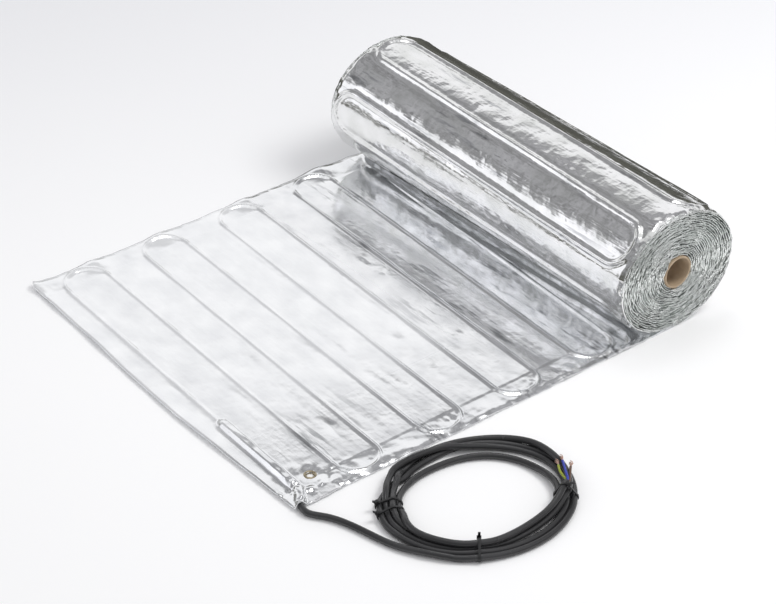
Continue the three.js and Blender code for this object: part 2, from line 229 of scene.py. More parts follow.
def meshPiece(bm, name):
    bmesh.ops.recalc_face_normals(bm, faces=bm.faces)
    for face in bm.faces:
        face.smooth = True
    data = bpy.data.meshes.new(name)
    bm.to_mesh(data)
    bm.free()
    piece = bpy.data.objects.new(name, data)
    bpy.context.collection.objects.link(piece)
    return piece


def settle(piece, slotName, material, *nodes):
    # gives a piece its finish and its place on the body
    piece.data.materials.clear()
    piece.data.materials.append(material)
    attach(piece, body)
    if nodes:
        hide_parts(*nodes)
    return piece


def gridPiece(columns, rows, place, closed=False):
    # a grid whose points are moved by place(column, row)
    bm = bmesh.new()
    bmesh.ops.create_grid(bm, x_segments=columns - 1, y_segments=rows - 1, size=1)
    for vert in bm.verts:
        column = round((vert.co.x + 1) / 2 * (columns - 1))
        row = round((vert.co.y + 1) / 2 * (rows - 1))
        vert.co = place(column, row)
    if closed:
        bmesh.ops.remove_doubles(bm, verts=bm.verts, dist=1e-6)
    return bm


def addNode(tree, kind, **settings):
    made = tree.nodes.new(kind)
    for name, value in settings.items():
        setattr(made, name, value)
    return made


def feed(tree, given, socket):
    # given is another node's output, or a constant for the socket itself
    if isinstance(given, bpy.types.NodeSocket):
        tree.links.new(given, socket)
    else:
        socket.default_value = given


def calculate(tree, operation, *given):
    made = addNode(tree, "ShaderNodeMath", operation=operation)
    for value, socket in zip(given, made.inputs):
        feed(tree, value, socket)
    return made.outputs[0]


def addRamp(tree, source, low, high, start=0, end=1, soft=True):
    # start to end as the source goes from low to high
    made = addNode(tree, "ShaderNodeMapRange", interpolation_type="SMOOTHSTEP" if soft else "LINEAR")
    for label, value in (
        ("Value", source), ("From Min", low), ("From Max", high), ("To Min", start), ("To Max", end),
    ):
        feed(tree, value, made.inputs[label])
    return made.outputs["Result"]


def tint(tree, mask, first, second):
    made = addNode(tree, "ShaderNodeMix", data_type="RGBA")
    feed(tree, mask, made.inputs["Factor"])
    for label, shade in (("A", first), ("B", second)):
        feed(tree, (*shade, 1) if isinstance(shade, tuple) else shade, made.inputs[label])
    return made.outputs["Result"]


def project(tree, source, way):
    made = addNode(tree, "ShaderNodeVectorMath", operation="DOT_PRODUCT")
    feed(tree, source, made.inputs[0])
    feed(tree, way, made.inputs[1])
    return made.outputs["Value"]


def addGroup(name, inputs, outputs):
    tree = bpy.data.node_groups.new(name, "ShaderNodeTree")
    for label, kind, value in inputs:
        socket = tree.interface.new_socket(label, in_out="INPUT", socket_type=kind)
        if value is not None:
            socket.default_value = value
    for label, kind in outputs:
        tree.interface.new_socket(label, in_out="OUTPUT", socket_type=kind)
    return tree, tree.nodes.new("NodeGroupInput"), tree.nodes.new("NodeGroupOutput")


number, vector = "NodeSocketFloat", "NodeSocketVector"


def makeCrinkle():
    # fine creases, dents and streaks of handled foil, where it is rubbed dark, and flecks of painted dark
    # reflection that stand in for tiny dents
    tree, given, result = addGroup(
        "foilCrinkle",
        (("Vector", vector, None), ("Crease Scale", number, 90), ("Creases", number, 0.5),
         ("Dents", number, 0.5), ("Streak Scale", vector, None), ("Streaks", number, 0.2)),
        (("Height", number), ("Wear", number), ("Painted Dark Flecks", number)),
    )
    link = tree.links.new

    def scaled(scale, detail, label=None):
        stretch = addNode(tree, "ShaderNodeVectorMath", operation="MULTIPLY")
        link(given.outputs["Vector"], stretch.inputs[0])
        if label:
            link(given.outputs[label], stretch.inputs[1])
        else:
            stretch.inputs[1].default_value = scale
        made = addNode(tree, "ShaderNodeTexNoise")
        made.inputs["Scale"].default_value = 1
        made.inputs["Detail"].default_value = detail
        link(stretch.outputs[0], made.inputs["Vector"])
        return made

    bend = scaled((45, 45, 45), 2)
    warped = addNode(tree, "ShaderNodeVectorMath", operation="MULTIPLY_ADD")
    warped.inputs[1].default_value = (0.014, 0.014, 0.014)
    link(bend.outputs["Color"], warped.inputs[0])
    link(given.outputs["Vector"], warped.inputs[2])
    facets = addNode(tree, "ShaderNodeTexVoronoi", feature="F1")
    link(warped.outputs[0], facets.inputs["Vector"])
    link(given.outputs["Crease Scale"], facets.inputs["Scale"])
    dents = scaled((38, 30, 38), 3)
    streaks = scaled(None, 3, "Streak Scale")
    total = calculate(tree, "MULTIPLY", facets.outputs["Distance"], given.outputs["Creases"])
    for texture, label in ((dents, "Dents"), (streaks, "Streaks")):
        share = calculate(tree, "MULTIPLY", texture.outputs["Fac"], given.outputs[label])
        total = calculate(tree, "ADD", total, share)
    # painted dark reflection: clustered flecks standing in for tiny dents that mirror the dark studio
    flecks = addRamp(tree, scaled((170, 20, 170), 7).outputs["Fac"], 0.52, 0.64)
    clusters = addRamp(tree, scaled((22, 8, 22), 2).outputs["Fac"], 0.5, 0.62)
    link(total, result.inputs["Height"])
    link(dents.outputs["Fac"], result.inputs["Wear"])
    link(calculate(tree, "MULTIPLY", flecks, clusters), result.inputs["Painted Dark Flecks"])
    return tree


def makeGrain():
    # the faint unevenness of moulded or drawn plastic and of paper
    tree, given, result = addGroup(
        "fineGrain",
        (("Vector", vector, None), ("Scale", number, 400), ("Cloud Scale", number, 30)),
        (("Height", number), ("Cloud", number)),
    )
    for scale, output in (("Scale", "Height"), ("Cloud Scale", "Cloud")):
        texture = addNode(tree, "ShaderNodeTexNoise")
        texture.inputs["Detail"].default_value = 3
        tree.links.new(given.outputs["Vector"], texture.inputs["Vector"])
        tree.links.new(given.outputs[scale], texture.inputs["Scale"])
        tree.links.new(texture.outputs["Fac"], result.inputs[output])
    return tree


crinkleGroup, grainGroup = makeCrinkle(), makeGrain()


def newMaterial(name, base, rough, metal=0.0):
    material = bpy.data.materials.new(name)
    material.use_nodes = True
    tree = material.node_tree
    shader = tree.nodes["Principled BSDF"]
    shader.inputs["Base Color"].default_value = (*base, 1)
    shader.inputs["Roughness"].default_value = rough
    shader.inputs["Metallic"].default_value = metal
    return material, tree, shader


def addBump(tree, shader, height, strength, distance):
    bump = addNode(tree, "ShaderNodeBump")
    bump.inputs["Strength"].default_value = strength
    bump.inputs["Distance"].default_value = distance
    tree.links.new(height, bump.inputs["Height"])
    tree.links.new(bump.outputs["Normal"], shader.inputs["Normal"])


def spread(tree, source, low, high):
    # turns a mask into a value between low and high
    return addRamp(tree, source, 0.3, 0.7, low, high, soft=False)


# each finish's third colour is painted dark reflection, used for the flecks
foilLook = {
    "laid": {"base": (0.95, 0.957, 0.965), "dull": (0.86, 0.87, 0.885), "paintedFleck": (0.45, 0.46, 0.47),
             "rough": (0.1, 0.2), "Crease Scale": 120, "Creases": 0.1, "Dents": 0.25,
             "Streak Scale": (230, 9, 100), "Streaks": 0.1, "bump": 0.4},
    "roll": {"base": (0.95, 0.95, 0.955), "dull": (0.8, 0.81, 0.795), "paintedFleck": (0.55, 0.56, 0.57),
             "rough": (0.08, 0.2), "Crease Scale": 85, "Creases": 0.2, "Dents": 0.75,
             "Streak Scale": (240, 9, 240), "Streaks": 0.14, "bump": 0.8},
    "edge": {"base": (0.95, 0.97, 0.955), "dull": (0.8, 0.83, 0.81), "paintedFleck": (0.5, 0.53, 0.51),
             "rough": (0.2, 0.38), "Crease Scale": 260, "Creases": 0.5, "Dents": 0.5,
             "Streak Scale": (90, 90, 90), "Streaks": 0.0, "bump": 0.8},
}
# the laid sheet is satin at its far left and mirror bright near the roll and the near edge
satin = {"metal": 0.4, "roll": (-0.03, 0.05), "near": (-0.06, -0.19)}
# painted glow: emission in the foil under the roll's front, standing in for light bounced between the facing
# foil
paintedGlowZone = {"from": 0.158, "to": 0.19, "height": (0.02, 0.004), "light": 0.07}


def makePaintedGlow():
    tree, given, result = addGroup("paintedWedgeGlow", (("Vector", vector, None),), (("Strength", number),))
    parts = addNode(tree, "ShaderNodeSeparateXYZ")
    tree.links.new(given.outputs["Vector"], parts.inputs[0])
    masks = [
        addRamp(tree, parts.outputs[axis], low, high)
        for axis, (low, high) in (("X", (paintedGlowZone["from"], paintedGlowZone["to"])), ("Z", paintedGlowZone["height"]))
    ]
    both = calculate(tree, "MULTIPLY", *masks)
    link = tree.links.new
    link(calculate(tree, "MULTIPLY", both, paintedGlowZone["light"]), result.inputs["Strength"])
    return tree


paintedGlowGroup = makePaintedGlow()


def foilMaterial(kind):
    look = foilLook[kind]
    material, tree, shader = newMaterial("foil_" + kind, look["base"], look["rough"][0], 1.0)
    link = tree.links.new
    where = addNode(tree, "ShaderNodeTexCoord").outputs["Object"]
    crinkle = addNode(tree, "ShaderNodeGroup", node_tree=crinkleGroup)
    link(where, crinkle.inputs["Vector"])
    for socket in ("Crease Scale", "Creases", "Dents", "Streak Scale", "Streaks"):
        crinkle.inputs[socket].default_value = look[socket]
    wear = crinkle.outputs["Wear"]
    marks = crinkle.outputs["Painted Dark Flecks"]
    if kind == "laid":
        parts = addNode(tree, "ShaderNodeSeparateXYZ")
        link(where, parts.inputs[0])
        shine = calculate(tree, "MAXIMUM", *(
            addRamp(tree, parts.outputs[axis], *satin[side]) for axis, side in (("X", "roll"), ("Y", "near"))
        ))
        link(addRamp(tree, shine, 0, 1, satin["metal"], 1, soft=False), shader.inputs["Metallic"])
        # the painted dark reflection flecks only where the sheet is mirror bright
        marks = calculate(tree, "MULTIPLY", marks, shine)
    worn = tint(tree, spread(tree, wear, 0, 1), look["base"], look["dull"])
    # worn tone, then the painted dark reflection flecks over it
    link(tint(tree, marks, worn, look["paintedFleck"]), shader.inputs["Base Color"])
    link(spread(tree, wear, *look["rough"]), shader.inputs["Roughness"])
    addBump(tree, shader, crinkle.outputs["Height"], look["bump"], 0.0022)
    # painted glow under the roll's front, in place of bounced light
    if kind != "edge":
        paintedGlow = addNode(tree, "ShaderNodeGroup", node_tree=paintedGlowGroup)
        link(where, paintedGlow.inputs["Vector"])
        link(paintedGlow.outputs["Strength"], shader.inputs["Emission Strength"])
        shader.inputs["Emission Color"].default_value = (0.9, 0.92, 0.95, 1)
    return material


def grainMaterial(name, light, dark, rough, metal=0.0, scale=400, cloud=30, bump=0.2, depth=0.0002):
    material, tree, shader = newMaterial(name, light, rough[0], metal)
    where = addNode(tree, "ShaderNodeTexCoord")
    grain = addNode(tree, "ShaderNodeGroup", node_tree=grainGroup)
    tree.links.new(where.outputs["Object"], grain.inputs["Vector"])
    grain.inputs["Scale"].default_value = scale
    grain.inputs["Cloud Scale"].default_value = cloud
    mask = spread(tree, grain.outputs["Cloud"], 0, 1)
    tree.links.new(tint(tree, mask, light, dark), shader.inputs["Base Color"])
    tree.links.new(spread(tree, grain.outputs["Cloud"], *rough), shader.inputs["Roughness"])
    addBump(tree, shader, grain.outputs["Height"], bump, depth)
    return material


laidFoil, rollFoil, edgeFoil = (foilMaterial(kind) for kind in ("laid", "roll", "edge"))
blackPvc = grainMaterial("black_pvc", (0.028, 0.028, 0.029), (0.042, 0.042, 0.044), (0.2, 0.3), cloud=18)
blackNylon = grainMaterial("black_nylon", (0.012, 0.012, 0.013), (0.02, 0.02, 0.021), (0.35, 0.5), cloud=60)
nickelBrass = grainMaterial(
    "nickel_brass", (0.56, 0.49, 0.36), (0.38, 0.32, 0.22), (0.2, 0.34), metal=1.0, cloud=220,
)
copperWire = grainMaterial("copper", (0.78, 0.55, 0.46), (0.62, 0.4, 0.32), (0.25, 0.4), metal=1.0, cloud=500)
redCable = grainMaterial("heating_cable", (0.22, 0.02, 0.018), (0.16, 0.015, 0.014), (0.4, 0.5))
insulation = {
    name: grainMaterial(name, *look) for name, *look in (
        ("brown_insulation", (0.11, 0.055, 0.03), (0.08, 0.04, 0.022), (0.4, 0.5)),
        ("blue_insulation", (0.03, 0.05, 0.42), (0.02, 0.035, 0.3), (0.35, 0.45)),
    )
}


def stripedMaterial():
    # green insulation with yellow bands along it
    material, tree, shader = newMaterial("green_yellow_insulation", (0.1, 0.25, 0.03), 0.42)
    where = addNode(tree, "ShaderNodeTexCoord")
    bands = addNode(tree, "ShaderNodeTexWave", wave_type="BANDS", bands_direction="DIAGONAL")
    bands.inputs["Scale"].default_value = 210
    bands.inputs["Distortion"].default_value = 0.6
    tree.links.new(where.outputs["Object"], bands.inputs["Vector"])
    mask = spread(tree, bands.outputs["Fac"], 0, 1)
    tree.links.new(tint(tree, mask, (0.06, 0.2, 0.03), (0.55, 0.5, 0.05)), shader.inputs["Base Color"])
    return material


insulation["green_yellow_insulation"] = stripedMaterial()


def cardboardMaterial():
    # wound paper: a spiral seam and fine fibres
    material, tree, shader = newMaterial("cardboard", (0.5, 0.38, 0.25), 0.85)
    where = addNode(tree, "ShaderNodeTexCoord")
    grain = addNode(tree, "ShaderNodeGroup", node_tree=grainGroup)
    grain.inputs["Scale"].default_value = 900
    grain.inputs["Cloud Scale"].default_value = 60
    tree.links.new(where.outputs["Object"], grain.inputs["Vector"])
    seam = addNode(
        tree, "ShaderNodeTexWave", wave_type="BANDS", bands_direction="DIAGONAL", wave_profile="SAW",
    )
    seam.inputs["Scale"].default_value = 9
    seam.inputs["Distortion"].default_value = 0.3
    tree.links.new(where.outputs["Object"], seam.inputs["Vector"])
    both = addNode(tree, "ShaderNodeMath", operation="MULTIPLY_ADD")
    both.inputs[1].default_value = 0.35
    tree.links.new(seam.outputs["Fac"], both.inputs[0])
    tree.links.new(grain.outputs["Height"], both.inputs[2])
    mask = spread(tree, grain.outputs["Cloud"], 0, 1)
    tree.links.new(tint(tree, mask, (0.5, 0.39, 0.27), (0.34, 0.25, 0.165)), shader.inputs["Base Color"])
    addBump(tree, shader, both.outputs[0], 0.5, 0.0005)
    return material


cardboard = cardboardMaterial()
print("materials made")


# ties round the coil

tieShape = {"thick": 1.1, "width": 2.6, "slack": 0.15, "head": (3.4, 4.6, 4.4)}
ties = (
    {"name": "tie_left_upper", "angle": 150, "headAt": 62, "tail": 3, "tailTurn": 20},
    {"name": "tie_left_lower", "angle": 159, "headAt": 48, "tail": 4, "tailTurn": 35},
    {"name": "tie_front", "angle": 231, "headAt": 150, "tail": 11, "tailTurn": 62},
    {"name": "tie_at_wires", "angle": 321, "headAt": 40, "tail": 5, "tailTurn": 10},
)


def strandsAt(angle):
    # the places of the turns where they pass an angle, as distance from the middle and height
    near = [
        i for i, a in enumerate(coilAnglesAll)
        if abs((a - angle + 180) % 360 - 180) <= 180 / tail["stepsPerTurn"]
    ]
    return [(outermost(angle) - coilInwards[i], coilHeights[i]) for i in near]


def hullRound(circles, radius):
    # the tight loop round some circles
    points = sorted({
        (round(x + radius * cos(k * pi / 12), 4), round(z + radius * sin(k * pi / 12), 4))
        for x, z in circles for k in range(24)
    })
    sides = []
    for order in (points, points[::-1]):
        side = []
        for p in order:
            while len(side) > 1 and (
                (side[-1][0] - side[-2][0]) * (p[1] - side[-2][1])
                <= (side[-1][1] - side[-2][1]) * (p[0] - side[-2][0])
            ):
                side.pop()
            side.append(p)
        sides += side[:-1]
    return sides


def makeTie(tie):
    angle = radians(tie["angle"])
    out, along = Vector((cos(angle), sin(angle), 0)), Vector((-sin(angle), cos(angle), 0))
    centre = Vector((coilMiddle.x, coilMiddle.y + tail["shift"] * mm, 0))
    loop = hullRound(strandsAt(tie["angle"]), tail["diameter"] / 2 + tieShape["slack"])
    loop = [(x, max(z, 0.1)) for x, z in loop]
    middle = Vector((sum(x for x, _ in loop) / len(loop), sum(z for _, z in loop) / len(loop)))
    bm = bmesh.new()
    start = [bm.verts.new(centre + out * x * mm + Vector((0, 0, z * mm)) - along * 1.3 * mm) for x, z in loop]
    edges = [bm.edges.new((a, b)) for a, b in zip(start, start[1:] + start[:1])]
    wide = bmesh.ops.extrude_edge_only(bm, edges=edges)
    moved = [v for v in wide["geom"] if isinstance(v, bmesh.types.BMVert)]
    bmesh.ops.translate(bm, verts=moved, vec=along * tieShape["width"] * mm)
    bmesh.ops.recalc_face_normals(bm, faces=bm.faces)
    core = centre + out * middle.x * mm + Vector((0, 0, middle.y * mm))
    if sum(f.normal.dot(f.calc_center_median() - core) for f in bm.faces) < 0:
        bmesh.ops.reverse_faces(bm, faces=bm.faces)
    bm.normal_update()
    bmesh.ops.solidify(bm, geom=bm.faces[:], thickness=-tieShape["thick"] * mm)
    # the head sits on the loop where a ray at headAt meets it
    way = Vector((cos(radians(tie["headAt"])), sin(radians(tie["headAt"]))))
    corner = max(loop, key=lambda p: (Vector(p) - middle).dot(way))
    seat = Vector(corner) + way * (tieShape["head"][0] / 2 + 0.3)
    turn = Matrix((out, along, Vector((0, 0, 1)))).transposed().to_4x4()
    place = Matrix.Translation(centre + out * seat.x * mm + Vector((0, 0, seat.y * mm))) @ turn
    lean = Matrix.Rotation(-radians(tie["headAt"]), 4, "Y")
    head = bmesh.ops.create_cube(bm, size=1)["verts"]
    bmesh.ops.scale(bm, vec=Vector(tieShape["head"]) * mm, verts=head)
    rim = dict.fromkeys(e for v in head for e in v.link_edges)
    bevelled = bmesh.ops.bevel(
        bm, geom=list(rim), offset=0.5 * mm, segments=2, profile=0.5, affect="EDGES", material=-1,
    )["verts"]
    headVerts = list({v for v in bevelled} | {v for v in head if v.is_valid})
    bmesh.ops.transform(bm, matrix=place @ lean, verts=headVerts)
    strip = bmesh.ops.create_cube(bm, size=1)["verts"]
    bmesh.ops.scale(bm, vec=Vector((tie["tail"], tieShape["width"], tieShape["thick"])) * mm, verts=strip)
    bmesh.ops.translate(bm, vec=Vector((tie["tail"] / 2 + 1.2, 0, 0)) * mm, verts=strip)
    bend = Matrix.Rotation(-radians(tie["tailTurn"]), 4, "Y")
    bmesh.ops.transform(bm, matrix=place @ bend, verts=strip)
    piece = meshPiece(bm, tie["name"] + "_strap")
    for face in piece.data.polygons:
        face.use_smooth = False
    return settle(piece, "black_nylon", blackNylon, tie["name"])


tiePieces = [makeTie(tie) for tie in ties]


# the three wires at the tail's end

wireSet = {"diameter": 2.6, "spread": 1.75, "strand": 0.7, "strands": 9, "bare": 11.0}
wires = (
    {"name": "live", "slot": "brown_insulation", "turn": 330, "bend": (86.5, -37.5), "end": (95, -29)},
    {"name": "neutral", "slot": "blue_insulation", "turn": 90, "bend": (83.3, -34), "end": (94, -18)},
    {"name": "earth", "slot": "green_yellow_insulation", "turn": 210, "bend": (80, -30.5),
     "end": (87, -19.5)},
)


def makeWire(wire):
    aside = tailWay.cross(Vector((0, 0, 1))).normalized()
    above = aside.cross(tailWay).normalized()
    turn = radians(wire["turn"])
    off = (aside * cos(turn) + above * sin(turn)) * wireSet["spread"] * mm
    lift = Vector((0, 0, off.z))
    bendAt, endAt = (
        Vector((coilMiddle.x + wire[part][0] * mm, coilMiddle.y + wire[part][1] * mm, tailEnd.z - drop))
        for part, drop in (("bend", 0), ("end", 0.002))
    )
    line = throughPoints(
        [tailEnd - tailWay * 0.005 + off, tailEnd + tailWay * 0.003 + off, bendAt + lift, endAt + lift * 0.6],
        0.0012,
    )
    jacket = curvePiece(wire["name"] + "_wire_jacket", [line], wireSet["diameter"], 4)
    settle(jacket, wire["slot"], insulation[wire["slot"]], wire["name"] + "_wire")
    way = (line[-1] - line[-3]).normalized()
    side = way.cross(Vector((0, 0, 1))).normalized()
    top = side.cross(way)
    strands = []
    for k in range(wireSet["strands"]):
        strand = []
        for i in range(13):
            far = i / 12
            spin = 2 * pi * (k / (wireSet["strands"] - 1) + 0.7 * far)
            wide = 0 if k == 0 else 0.75 + 1.5 * smooth((far - 0.3) / 0.7) * (0.4 + 0.6 * (k % 3) / 2)
            strand.append(
                line[-1] - way * 0.002 + way * far * (wireSet["bare"] + 2) * mm
                + (side * cos(spin) + top * sin(spin)) * wide * mm
                - Vector((0, 0, 1)) * 1.2 * mm * far * far
            )
        strands.append(strand)
    bare = curvePiece(wire["name"] + "_strand_bundle", strands, wireSet["strand"], 2)
    settle(bare, "copper", copperWire, wire["name"] + "_strands")
    return [jacket, bare]


wirePieces = [piece for wire in wires for piece in makeWire(wire)]
settle(coldTail, "black_pvc", blackPvc, "cold_tail_lead", "cold_tail_coil", "cold_tail_end")
print("ties and wires made")


# the laid foil, with the cable's rows showing through it

sheet = {
    "long": 512, "half": 250, "top": 2.7, "floor": 0.15,
    "firstRow": 20, "pitch": 52.8, "lean": 22, "turnAt": 215.6, "rows": 9,
    "ridge": 0.7, "ridgeMore": 0.9, "ridgeFlat": 0.8, "ridgeFoot": 3.2, "cable": 1.2, "cableHigh": 2.0,
    "hem": 219, "hemStep": 0.35, "rim": 0.9, "inset": 13,
    "sleeve": (
        (27, -92), (21.2, -222.3), (21.2, -225.5), (19.4, -230.5), (15.2, -237), (10.2, -244.5), (7, -250.5),
    ),
    "sleeveHigh": 6.0, "sleeveFlat": 3.6, "sleeveFoot": 6.4,
}
edgeLine = ((-250, 0), (-200, -0.5), (-50, -2), (40, 2), (130, 8), (200, 11), (240, 13), (250, 18))
# local dents and wrinkles: x, y, half width, half length, depth
dents = (
    (203, -52, 5, 24, 1.3), (200, -132, 4, 26, 1.1), (214, -138, 3, 24, 0.8), (112, -160, 9, 12, 1.9),
    (112, -110, 6, 30, 1.0), (180, -38, 5, 18, 2.0), (294, 58, 4, 24, 1.5), (27, -12, 5, 14, 1.7),
    (118, -18, 5, 16, 1.3), (238, 96, 2.5, 80, 0.9), (70, -60, 4, 34, 1.1), (265, -82, 6, 7, 1.5),
    (214, -231, 7, 11, 2.6), (198, -232, 5, 9, 1.8), (112, -226, 9, 7, 1.9), (335, 62, 4, 12, 1.4),
    (90, -136, 8, 9, 1.0), (311, 100, 2.5, 22, 0.9), (284, -12, 3, 40, 1.2), (52, -100, 4, 14, 1.1),
    (150, -188, 5, 24, 0.8), (258, -150, 8, 16, 1.0), (318, -118, 12, 8, 1.1), (330, 30, 12, 3, 0.9),
    (445, -212, 5, 9, 1.5), (428, -228, 12, 6, 1.4), (412, -190, 9, 12, 1.1),
)
# where the edges lift off the floor: x, half width, height at the far edge and at the near one
farLifts = ((92, 13, 3.0), (182, 15, 3.2), (300, 15, 3.4), (410, 18, 4), (22, 16, 3))
nearLifts = ((147, 14, 1.6), (255, 16, 1.4), (362, 18, 1.6), (440, 20, 2.2))


def alongEdge(y):
    return float(np.interp(y, *zip(*edgeLine)))


def tent(distance, flat, foot, high):
    return high * max(0.0, min(1.0, (foot - distance) / (foot - flat))) ** 1.5


def toPolyline(x, y, points):
    best = 1e9
    for (ax, ay), (bx, by) in zip(points, points[1:]):
        dx, dy = bx - ax, by - ay
        t = max(0.0, min(1.0, ((x - ax) * dx + (y - ay) * dy) / (dx * dx + dy * dy)))
        best = min(best, hypot(x - ax - t * dx, y - ay - t * dy))
    return best


def toCable(s, v, first, pitch, turnAt, farPair):
    # how far a point lies from the cable's rows and the turns that join them
    rows = (s - first) / pitch
    if abs(v) <= turnAt:
        return abs(rows - round(rows)) * pitch
    pair = farPair if v > 0 else 1 - farPair
    low = floor((rows - pair) / 2) * 2 + pair
    return min(
        abs(hypot(s - first - (k + 0.5) * pitch, abs(v) - turnAt) - pitch / 2)
        for k in (low - 2, low, low + 2)
    )


def crumple(x, y, size, seed):
    # sharp little facets, as of crushed foil
    spot = Vector((x / size / 2.3, y / size / 2.3, seed))
    warp = [noise.noise(spot + Vector((17.3 * k, 5.1 * k, 0))) for k in range(3)]
    total = 0
    for k, (turn, scale, share) in enumerate(((0.4, 1.0, 0.4), (1.5, 0.8, 0.3), (2.5, 1.25, 0.3))):
        t = (x * cos(turn) + y * sin(turn)) / (size * scale) + warp[k] * 1.6
        total += share * abs(t % 2 - 1)
    return total - 0.5


def sheetHeight(s, v, x):
    fade = smooth((506 - s) / 14)
    # flat and calm at the far left, livelier towards the near edge and the roll
    lively = 0.25 + 0.75 * smooth((x * 0.8 - v - 130) / 300)
    height = sheet["top"]
    height += lively * 0.4 * noise.noise(Vector((x / 60, v / 150, 1.7))) * fade
    height += lively * 0.13 * noise.noise(Vector((x / 21, v / 80, 4.1))) * fade
    height += lively * 0.04 * noise.noise(Vector((x / 6, v / 40, 9.3)))
    edge = smooth((abs(v) - sheet["hem"] + 0.8) / 1.6)
    height -= sheet["hemStep"] * edge + 1.1 * smooth((abs(v) - 243) / 7)
    corner = np.exp(-(hypot((x - 24) / 38, (v + 228) / 34)) ** 2)
    rim = smooth((abs(v) - 206) / 30) * (0.5 if v < 0 else 0.22)
    height += (4.2 * corner + 1.6 * rim * fade) * crumple(x, v, 11, 0.0)
    height += (1.5 * corner + 0.5 * rim * fade) * crumple(x, v, 5.5, 13.0)
    height += 0.16 * smooth((s - 360) / 80) * fade * crumple(x, v / 4, 13, 3.0)
    for dx, dy, wide, tall, deep in dents:
        if abs(x - dx) < 2.5 * wide and abs(v - dy) < 2.5 * tall:
            fall = np.exp(-((x - dx) / wide) ** 2 - ((v - dy) / tall) ** 2)
            height -= 0.55 * deep * fall * (0.6 + 0.8 * noise.noise(Vector((x / 5, v / 9, 2.2))))
    low = sheet["floor"] + 0.7
    height = max(height, low + 0.15 * (height - low))
    bent = s if abs(v) <= sheet["turnAt"] else x - leanAt(sheet["turnAt"] if v > 0 else -sheet["turnAt"])
    if sheet["firstRow"] - 8 < s and not (s < sheet["firstRow"] + 26 and v < -88):
        away = toCable(bent, v, sheet["firstRow"], sheet["pitch"], sheet["turnAt"], 0)
        nearest = round((s - sheet["firstRow"]) / sheet["pitch"])
        uneven = 0.75 + 0.9 * noise.noise(Vector((nearest * 9.1, v / 55, 2.0)))
        ridge = (sheet["ridge"] + sheet["ridgeMore"] * lively) * fade * uneven
        height += tent(away, sheet["ridgeFlat"], sheet["ridgeFoot"], ridge)
        cover = sheet["cable"] + (0.3 if abs(v) < sheet["turnAt"] - 3 else 0.9)
        if away < cover and fade > 0.2:
            height = max(height, sheet["cableHigh"] + sqrt(cover ** 2 - away ** 2))
    if x < 56 and v < -50:
        away = toPolyline(x, v, sheet["sleeve"])
        ends = smooth((-72 - v) / 24)
        lift = tent(away, sheet["sleeveFlat"], sheet["sleeveFoot"], sheet["sleeveHigh"] * ends)
        broken = 1.5 * (0.4 + crumple(x, v / 2, 8, 5.0)) + 3.2 * corner * crumple(x, v, 8, 9.0)
        lift += smooth(lift / 3) * broken
        height = max(height, sheet["top"] + lift)
    for side, lifts in ((1, farLifts), (-1, nearLifts)):
        if v * side > 200:
            for at, wide, high in lifts:
                if abs(x - at) < 2 * wide:
                    height += high * np.exp(-((x - at) / wide) ** 2) * smooth((v * side - 218) / 32)
    height += 1.6 * smooth((12 - s) / 12) * (0.7 + 0.9 * noise.noise(Vector((v / 45, 0.3, 6.0))))
    return height


def leanAt(v):
    return sheet["lean"] * (v + sheet["half"]) / (2 * sheet["half"])


def sheetPoint(s, v):
    lean = leanAt(v)
    share = smooth((s - 470) / 42)
    near = min(1.0, s / sheet["firstRow"])
    x = s + lean * near * (1 - share) + alongEdge(v) * (1 - near)
    y = v
    if abs(v) > 235:
        wave = 1.6 * noise.noise(Vector((s / 32, v / 90, 3.3))) + 0.7 * noise.noise(Vector((s / 9, 0.4, 8.8)))
        y += wave * smooth((abs(v) - 235) / 15)
    z = sheetHeight(s, v, x)
    # the far corner curls over
    curl = smooth((26 - x) / 26) * smooth((v - 226) / 24)
    return onMat(x - 3 * curl, y + 7 * curl, z + 5 * curl)


def stations(first, pitch, count, low, high, between):
    # even steps between the ridges, and fine ones across each
    across = (-7.5, -5.0, -3.4, -2.2, -1.2, 0, 1.2, 2.2, 3.4, 5.0, 7.5)
    found = []
    for k in range(-1, count + 1):
        middle = first + k * pitch
        found += [middle + a for a in across]
        gap = pitch - 15
        found += [middle + 7.5 + gap * i / between for i in range(1, between)]
    found = [s for s in found if low + 0.6 < s < high - 0.6]
    return [low, *found, high]


def acrossStations(half, fineBand, fine, coarse):
    edge = half - fineBand
    outer = [half - fine * i for i in range(round(fineBand / fine))]
    steps = ceil(2 * edge / coarse)
    middle = [edge - 2 * edge * i / steps for i in range(steps + 1)]
    return [-v for v in outer] + middle[::-1] + outer[::-1]


